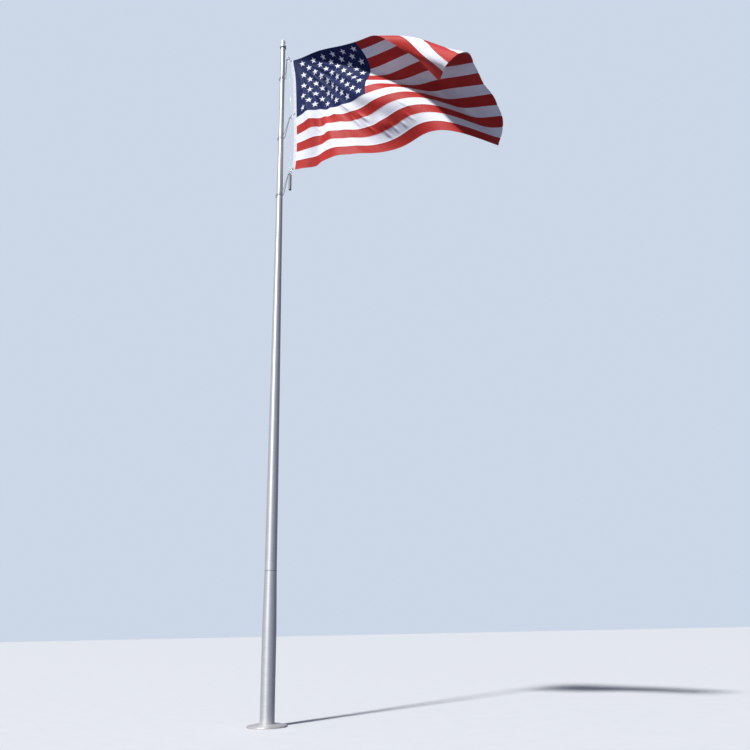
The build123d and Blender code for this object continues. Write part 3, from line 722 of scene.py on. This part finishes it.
nylonFinish = {
    "pitch": 0.0011,          # of the weave
    "stitch": 0.0034,         # length of a stitch
    "fadedEdge": (0.3, 0.7),
    "slubShare": 0.25,
    "seamEdge": (0.0002, 0.0016),
    "seamShare": 0.45,
    "seamShade": 0.55,        # of the cloth's own colour
    "roughness": (0.5, 0.66),
    "sheen": 0.02,
    "sheenRoughness": 0.4,
    # height in metres and strength
    "crinkle": (0.0008, 0.35),
    "weave": (0.00012, 0.5),
    "thread": (0.0004, 0.8),
}
nylonColors = {
    # cloth, its faded shade, the thread that sews it, and its gloss: dark dye soaks up the most
    "blue_nylon": ((0.012, 0.019, 0.076), (0.016, 0.026, 0.098), (0.03, 0.045, 0.14), 0.06),
    "red_nylon": ((0.43, 0.020, 0.016), (0.48, 0.030, 0.024), (0.52, 0.05, 0.045), 0.18),
    "white_nylon": ((0.84, 0.83, 0.86), (0.77, 0.77, 0.81), (0.92, 0.92, 0.92), 0.22),
}


def seamDistance(tree, s, t, slot):
    # how far the nearest seam or hem is, and how far along it
    c = flagCut
    stripe = c["hoist"] / c["stripes"]
    length = c["fly"] * c["cantonShare"]
    if slot == "blue_nylon":
        drop = stripe * c["cantonStripes"]
        acrossS = calc(tree, "MINIMUM", s, calc(tree, "SUBTRACT", length, s))
        acrossT = calc(tree, "MINIMUM", t, calc(tree, "SUBTRACT", drop, t))
    else:
        acrossS = calc(tree, "MINIMUM", s, calc(tree, "SUBTRACT", c["fly"], s))
        fromHem = calc(tree, "ABSOLUTE", calc(tree, "SUBTRACT", c["fly"] - c["flyHem"], s))
        acrossS = calc(tree, "MINIMUM", acrossS, fromHem)
        acrossT = calc(tree, "PINGPONG", t, stripe / 2)
    onFly = calc(tree, "LESS_THAN", acrossS, acrossT)
    along = calc(tree, "ADD", calc(tree, "MULTIPLY", onFly, t),
                 calc(tree, "MULTIPLY", calc(tree, "SUBTRACT", 1.0, onFly), s))
    return calc(tree, "MINIMUM", acrossS, acrossT), along


def nylonMaterial(slot, f):
    cloth, faded, thread, gloss = nylonColors[slot]
    material, tree, shader = newMaterial(slot.replace("_n", "N"), SheenWeight=f["sheen"],
                                         SheenRoughness=f["sheenRoughness"], SpecularIORLevel=gloss)
    flat = addNode(tree, "ShaderNodeUVMap", uv_map="cloth").outputs[0]
    s, t, _ = split(tree, flat)
    woven = useGroup(tree, weave, Cloth=flat, Pitch=f["pitch"])
    used = useGroup(tree, handling, Cloth=flat)
    distance, along = seamDistance(tree, s, t, slot)
    sewn = useGroup(tree, stitching, Along=along, Distance=distance, Length=f["stitch"])
    color = tint(tree, fade(tree, used["Shade"], *f["fadedEdge"]), cloth, faded)
    color = over(tree, color, woven["Slub"], f["slubShare"], faded)
    nearSeam = fade(tree, distance, *f["seamEdge"], f["seamShare"], 0.0)
    color = tint(tree, nearSeam, color, tuple(f["seamShade"] * part for part in cloth))
    color = tint(tree, sewn["Thread"], color, thread)
    feed(tree, shader.inputs["Base Color"], color)
    feed(tree, shader.inputs["Roughness"], fade(tree, woven["Slub"], 0.3, 0.7, *f["roughness"]))
    crinkled = addBump(tree, shader, used["Crinkle"], *f["crinkle"])
    threads = addBump(tree, shader, woven["Height"], *f["weave"], crinkled)
    addBump(tree, shader, sewn["Height"], *f["thread"], threads)
    return material


canvasFinish = {
    "color": (0.87, 0.87, 0.88),
    "soiled": (0.74, 0.74, 0.74),
    "soiledEdge": (0.4, 0.75),
    "thread": (0.93, 0.92, 0.90),
    "slubShare": 0.5,
    "roughness": (0.9, 0.75),
    "sheen": 0.15,
    "gloss": 0.25,
    "pitch": 0.0022,
    "stitch": 0.0042,
    "width": 0.05,
    # height in metres and strength
    "weave": (0.0003, 0.7),
    "seam": (0.0005, 0.8),
}


def canvasMaterial(name, f):
    material, tree, shader = newMaterial(name, SheenWeight=f["sheen"], SpecularIORLevel=f["gloss"])
    flat = addNode(tree, "ShaderNodeUVMap", uv_map="cloth").outputs[0]
    s, t, _ = split(tree, flat)
    woven = useGroup(tree, weave, Cloth=flat, Pitch=f["pitch"])
    used = useGroup(tree, handling, Cloth=flat)
    toEdge = calc(tree, "MINIMUM", calc(tree, "ABSOLUTE", s), calc(tree, "ADD", s, f["width"]))
    sewn = useGroup(tree, stitching, Along=t, Distance=toEdge, Length=f["stitch"])
    color = tint(tree, fade(tree, used["Shade"], *f["soiledEdge"]), f["color"], f["soiled"])
    color = over(tree, color, woven["Slub"], f["slubShare"], f["soiled"])
    feed(tree, shader.inputs["Base Color"], tint(tree, sewn["Thread"], color, f["thread"]))
    feed(tree, shader.inputs["Roughness"], fade(tree, woven["Height"], 0.0, 1.0, *f["roughness"]))
    threads = addBump(tree, shader, woven["Height"], *f["weave"])
    addBump(tree, shader, sewn["Height"], *f["seam"], threads)
    return material


slotOf = {part["node"]: part["material_slot"] for part in frame["record"]["subparts"]}
materials = {
    "satin_aluminium": aluminiumMaterial("satinAluminium", poleFinish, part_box("lower_shaft")[1][2]),
    "spun_aluminium": aluminiumMaterial("spunAluminium", spunFinish),
    "flash_collar": aluminiumMaterial("collarAluminium", collarShadedFinish),    # darker and less metallic than the hood: painted shade on a face that turns up to the key light
    "cast_aluminium": skinMaterial("castAluminium", castFinish),
    "stainless_steel": skinMaterial("stainlessSteel", stainlessFinish),
    "sheave_nylon": skinMaterial("sheaveNylon", sheaveFinish),
    "sling_cover": skinMaterial("slingCover", slingFinish),
    "weight_metal": skinMaterial("weightMetal", weightFinish),
    "heading_canvas": canvasMaterial("headingCanvas", canvasFinish),
    "brass": skinMaterial("brassPlate", brassFinish),
    **{slot: nylonMaterial(slot, nylonFinish) for slot in nylonColors},
}


def strandLine(node):
    # the line that the strands wind round: from the inner foot of the cable's box to its outer top,
    # half the box's depth in from both
    low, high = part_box(node)
    middle = (low[1] + high[1]) / 2
    reach = (high[1] - low[1]) / 2
    return (low[0] + reach, middle, low[2]), (high[0] - reach, middle, high[2])


for name, node in nodes.items():
    slot = slotOf[name]
    if slot == "wire_rope":
        material = ropeMaterial(name.replace("_", "") + "Wire", *strandLine(name), ropeFinish)
    else:
        material = materials.get(name, materials[slot])
    node.data.materials.clear()
    node.data.materials.append(material)
print("materials made:", len(bpy.data.materials))


# flag panels
stripeWidth = flagCut["hoist"] / flagCut["stripes"]
cantonLength = flagCut["fly"] * flagCut["cantonShare"]
cantonDrop = stripeWidth * flagCut["cantonStripes"]


def seamRise(distance, width):
    # raised where the cloth is turned under, easing off beyond
    return flagCut["seamRise"] * np.clip((width + flagCut["seamEase"] - distance) / flagCut["seamEase"], 0, 1)


def lines(low, high, step, seams):
    # evenly spaced, with a close pair of lines where a seam ends
    inner = np.linspace(low + seams[0], high - seams[1], max(2, round((high - low) / step)))
    pairs = [low, low + seams[0] - flagCut["seamEase"], high - seams[1] + flagCut["seamEase"], high]
    return np.unique(np.round(np.concatenate([pairs, inner]), 6))


def addPanel(name, sLow, sHigh, tLow, tHigh, material):
    c = flagCut
    flySeam = c["flyHem"] if sHigh > c["fly"] - 1e-6 else c["seamWidth"]
    seam = c["seamWidth"] + c["seamEase"]
    sLine = lines(sLow, sHigh, c["columnStep"], (seam, flySeam + c["seamEase"]))
    tLine = lines(tLow, tHigh, c["rowStep"], (seam, seam))
    s, t = np.meshgrid(sLine, tLine, indexing="ij")
    rise = np.maximum(seamRise(t - tLow, c["seamWidth"]), seamRise(tHigh - t, c["seamWidth"]))
    rise = np.maximum(rise, seamRise(sHigh - s, flySeam))
    rise = np.maximum(rise, seamRise(s - sLow, c["seamWidth"]))
    fromSeam = np.minimum(t - tLow, tHigh - t)
    nearFly = np.clip((s - c["fly"] + c["flyHem"]) / c["flyHem"], 0, 1)
    drawn = s - c["notch"] * nearFly * np.exp(-(fromSeam / (2 * c["notch"])) ** 2)
    panel = closedSheet(name + "Cloth", drawn, t, c["thickness"] / 2 + rise, material)
    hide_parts(name)


addPanel("canton", 0, cantonLength, 0, cantonDrop, materials["blue_nylon"])
for number in range(1, flagCut["stripes"] + 1):
    start = cantonLength if number <= flagCut["cantonStripes"] else 0
    slot = "red_nylon" if number % 2 else "white_nylon"
    addPanel(f"stripe_{number}", start, flagCut["fly"], (number - 1) * stripeWidth, number * stripeWidth,
             materials[slot])
print("cloth made")


# stars, sewn on both faces of the canton
starCut = {
    "radius": 0.070,
    "rise": 0.0013,           # above the canton's face
    "hoistMargin": 0.185,     # from the hoist seam to the first column
    "flyMargin": 0.135,
    "rings": 5,
    "edgeSteps": 4,           # along each of a star's ten sides
    "columns": 11,
    "rows": 9,
    "slopeStep": 0.002,       # over which the cloth's slope is measured
    "roughness": (0.45, 0.6),
    "sheen": 0.3,
    "gloss": 0.4,
    "weaveStrength": 0.6,
}


def addStars(c):
    # straight sides between ten corners, and rings that fill them from a point in the middle
    corner = np.arange(11)
    radius = np.where(corner % 2 == 0, c["radius"], c["radius"] * sin(pi / 10) / sin(3 * pi / 10))
    w = np.arange(10 * c["edgeSteps"]) / c["edgeSteps"]
    sideS = np.interp(w, corner, radius * np.sin(corner * pi / 5))
    sideT = np.interp(w, corner, -radius * np.cos(corner * pi / 5))
    ring = np.arange(1, c["rings"] + 1) / c["rings"]
    flatS = np.append((ring[:, None] * sideS).ravel(), 0)
    flatT = np.append((ring[:, None] * sideT).ravel(), 0)
    column, row = np.meshgrid(np.arange(1, c["columns"] + 1), np.arange(1, c["rows"] + 1), indexing="ij")
    chosen = (column + row) % 2 == 0
    spacing = (cantonLength - c["hoistMargin"] - c["flyMargin"]) / (c["columns"] - 1)
    s = c["hoistMargin"] + spacing * (column[chosen][:, None] - 1) + flatS
    t = cantonDrop * row[chosen][:, None] / (c["rows"] + 1) + flatT
    h = c["slopeStep"]
    points = clothPoint(s, t)
    normals = np.cross(clothPoint(s, t + h) - points, clothPoint(s + h, t) - points)
    normals /= np.linalg.norm(normals, axis=-1, keepdims=True)
    half = flagCut["thickness"] / 2 + c["rise"]
    co = np.concatenate([(points + normals * half).reshape(-1, 3), (points - normals * half).reshape(-1, 3)])
    count, around = len(w) * c["rings"], len(w)
    index = np.arange(count).reshape(c["rings"], around)
    before = np.roll(index, 1, axis=1)
    quads = np.stack([index[:-1], index[1:], before[1:], before[:-1]], -1).reshape(-1, 4)
    fan = np.stack([np.full(around, count), index[0], before[0]], -1)
    wall = np.stack([before[-1], index[-1], index[-1], before[-1]], -1)
    stars = np.arange(len(s))[:, None, None] * (count + 1)
    behind = len(s) * (count + 1)
    quads = (quads + stars).reshape(-1, 4)
    fan = (fan + stars).reshape(-1, 3)
    wall = (wall + stars).reshape(-1, 4) + np.array([0, 0, behind, behind])
    faces = [quads, fan, quads[:, ::-1] + behind, fan[:, ::-1] + behind, wall]
    uv = np.tile(np.stack([s.ravel(), t.ravel()], -1), (2, 1))
    piece = addMesh("stars", co, faces, uv, starMaterial(c))


def starMaterial(f):
    # the white cloth once more, a little glossier where it is stitched down
    cloth, faded, *_ = nylonColors["white_nylon"]
    material, tree, shader = newMaterial("starCloth", SheenWeight=f["sheen"], SpecularIORLevel=f["gloss"])
    flat = addNode(tree, "ShaderNodeUVMap", uv_map="cloth").outputs[0]
    woven = useGroup(tree, weave, Cloth=flat, Pitch=nylonFinish["pitch"])
    used = useGroup(tree, handling, Cloth=flat)
    color = tint(tree, fade(tree, used["Shade"], *nylonFinish["fadedEdge"]), cloth, faded)
    feed(tree, shader.inputs["Base Color"], color)
    feed(tree, shader.inputs["Roughness"], fade(tree, woven["Slub"], 0.3, 0.7, *f["roughness"]))
    addBump(tree, shader, woven["Height"], nylonFinish["weave"][0], f["weaveStrength"])
    return material


addStars(starCut)
print("stars made")


# the canvas heading, a folded band with a hole for each grommet
headingCut = {
    "width": 0.05,
    "overlap": 0.006,         # over the flag's hoist edge
    "half": 0.0017,           # half its thickness
    "bead": 0.0010,           # more where the fold of its free edge is
    "beadWidth": 0.003,
    "padding": 0.0013,        # more under the grommets
    "paddingRadius": 0.019,
    "paddingEase": 0.004,
    "grommets": (0.022, 1.2192, 2.4164),
    "grommetFromEdge": 0.016,
    "holeRadius": 0.0108,
    "holeLines": 9,           # grid lines across a hole
    "holeGap": 0.0015,        # and beside it, free of lines
    "squareReach": 0.0200,    # where the grid is square again
    "innerLines": 8,          # from the holes to the flag
    "step": 0.004,
    "pucker": 0.0013,
    "puckerLength": 0.12,
    "puckerGap": 0.02,        # flat round a grommet, and the ease beyond
    "puckerEase": 0.05,
}


def headingPoint(s, t):
    # straight out from the hoist line, with a shallow sine pucker; past the seam it follows the flag
    c = headingCut
    inner = np.clip(-s / c["width"], 0, 1)
    sway = c["pucker"] * np.sin(2 * pi * t / c["puckerLength"]) * np.sin(pi * inner)
    nearest = np.min([np.abs(t - g) for g in c["grommets"]], axis=0)
    sway *= np.clip((nearest - c["puckerGap"]) / c["puckerEase"], 0, 1)
    flat = np.stack([hoistX(t) + s, sway, flagPose["topCorner"][1] - t], -1)
    beyond = np.maximum(s, 0)
    return np.where((s > 0)[..., None], openCloth(beyond, np.clip(t, 0, flagCut["hoist"])), flat)


def addHeading(c):
    # round each hole the square grid is drawn into circles: a point keeps its direction from the
    # middle, and its distance eases from a circle's at the hole to a square's at the reach
    hole, reach = c["holeRadius"], c["squareReach"]
    centreS = c["grommetFromEdge"] - c["width"]
    across = hole * np.linspace(-1, 1, c["holeLines"])
    inner = np.linspace(centreS + hole, c["overlap"], c["innerLines"])
    sLine = np.unique(np.round(np.concatenate([[-c["width"]], centreS + across, inner]), 6))
    tLine = np.linspace(0, flagCut["hoist"], round(flagCut["hoist"] / c["step"]))
    for g in c["grommets"]:
        tLine = np.concatenate([tLine[np.abs(tLine - g) > hole + c["holeGap"]], g + across])
    tLine = np.sort(tLine)
    s, t = np.meshgrid(sLine, tLine, indexing="ij")
    middleS, middleT = (s[1:, 1:] + s[:-1, :-1]) / 2, (t[1:, 1:] + t[:-1, :-1]) / 2
    kept = np.ones(middleS.shape, bool)
    padding = np.zeros_like(s)
    tiny = 1e-6
    for g in c["grommets"]:
        kept &= ~((np.abs(middleS - centreS) < hole) & (np.abs(middleT - g) < hole))
        a, b = s - centreS, t - g
        square = np.maximum(np.abs(a), np.abs(b))
        length = np.maximum(np.hypot(a, b), tiny)
        blend = np.clip((square - hole) / (reach - hole), 0, 1)
        atSide = (s <= -c["width"] + tiny) | (s >= c["overlap"] - tiny)
        atEnd = (t <= tiny) | (t >= flagCut["hoist"] - tiny)
        blend = np.where(atSide | atEnd, 1, blend)
        factor = blend + (1 - blend) * square / length
        s, t = centreS + a * factor, g + b * factor
        near = np.clip((c["paddingRadius"] - length) / c["paddingEase"], 0, 1)
        padding = np.maximum(padding, c["padding"] * near)
    bead = c["bead"] * np.exp(-((s + c["width"] - c["beadWidth"]) / c["beadWidth"]) ** 2)
    half = c["half"] + np.maximum(padding, bead)
    heading = closedSheet("headingCanvas", s, t, half, materials["heading_canvas"], headingPoint, kept)
    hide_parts("flag_heading")


addHeading(headingCut)
print("heading made")


# floor and light
floorSetup = {
    "reach": 300,
    "color": (0.60, 0.61, 0.62),
    "grain": (0.56, 0.57, 0.58),
    "grainNoise": (3.0, 4.0),
    "roughness": 0.9,
    "bounce": (0.13, 0.15, 0.21),     # what it throws up at the flag, much less than it looks
}


def addFloor(c):
    mesh = bpy.data.meshes.new("floor")
    r = c["reach"]
    mesh.from_pydata([(-r, -r, 0), (r, -r, 0), (r, r, 0), (-r, r, 0)], [], [(0, 1, 2, 3)])
    material, tree, shader = newMaterial("floor", Roughness=c["roughness"])
    speckle = noise(tree, objectPlace(tree), *c["grainNoise"])
    pale = tint(tree, speckle, c["color"], c["grain"])
    seen = addNode(tree, "ShaderNodeLightPath").outputs["Is Camera Ray"]
    feed(tree, shader.inputs["Base Color"], tint(tree, seen, c["bounce"], pale))
    mesh.materials.append(material)
    floor = bpy.data.objects.new("floor", mesh)
    bpy.context.scene.collection.objects.link(floor)


lightSetup = {
    "keyFrom": (-0.62, -0.78),        # x and y of where the key comes from, behind the camera and left of it
    "keyHeight": 51,                  # degrees
    "keyStrength": 4.7,
    "keySoftness": 5,                 # degrees across
    "backdrop": (0.60, 0.68, 0.80),
    "fill": (0.38, 0.48, 0.86),       # from above and all round
    "bright": (0.80, 0.82, 0.87),     # a wide soft panel on the left, and where it ends
    "brightEdge": (-0.75, 0.1),
    "dark": (0.34, 0.36, 0.36),       # and a dim one on the right, and where it begins
    "darkEdge": (0.15, 0.7),
    "fillStrength": 0.42,
}


def addLights(c):
    key = bpy.data.lights.new("key", "SUN")
    key.energy = c["keyStrength"]
    key.angle = radians(c["keySoftness"])
    lamp = bpy.data.objects.new("key", key)
    bpy.context.scene.collection.objects.link(lamp)
    azimuth = np.arctan2(c["keyFrom"][1], c["keyFrom"][0])
    lamp.rotation_euler = (0, radians(90 - c["keyHeight"]), azimuth)
    world = bpy.data.worlds.new("studio")
    world.use_nodes = True
    tree = world.node_tree
    background = tree.nodes["Background"]
    across = split(tree, addNode(tree, "ShaderNodeTexCoord").outputs["Generated"])[0]
    panels = tint(tree, fade(tree, across, *c["brightEdge"], 1.0, 0.0), c["fill"], c["bright"])
    panels = tint(tree, fade(tree, across, *c["darkEdge"]), panels, c["dark"])
    seen = addNode(tree, "ShaderNodeLightPath").outputs["Is Camera Ray"]
    feed(tree, background.inputs["Color"], tint(tree, seen, panels, c["backdrop"]))
    feed(tree, background.inputs["Strength"], fade(tree, seen, 0.0, 1.0, c["fillStrength"], 1.0))
    bpy.context.scene.world = world
    bpy.context.scene.view_settings.view_transform = "Standard"


addFloor(floorSetup)
addLights(lightSetup)
print("floor and lights set")
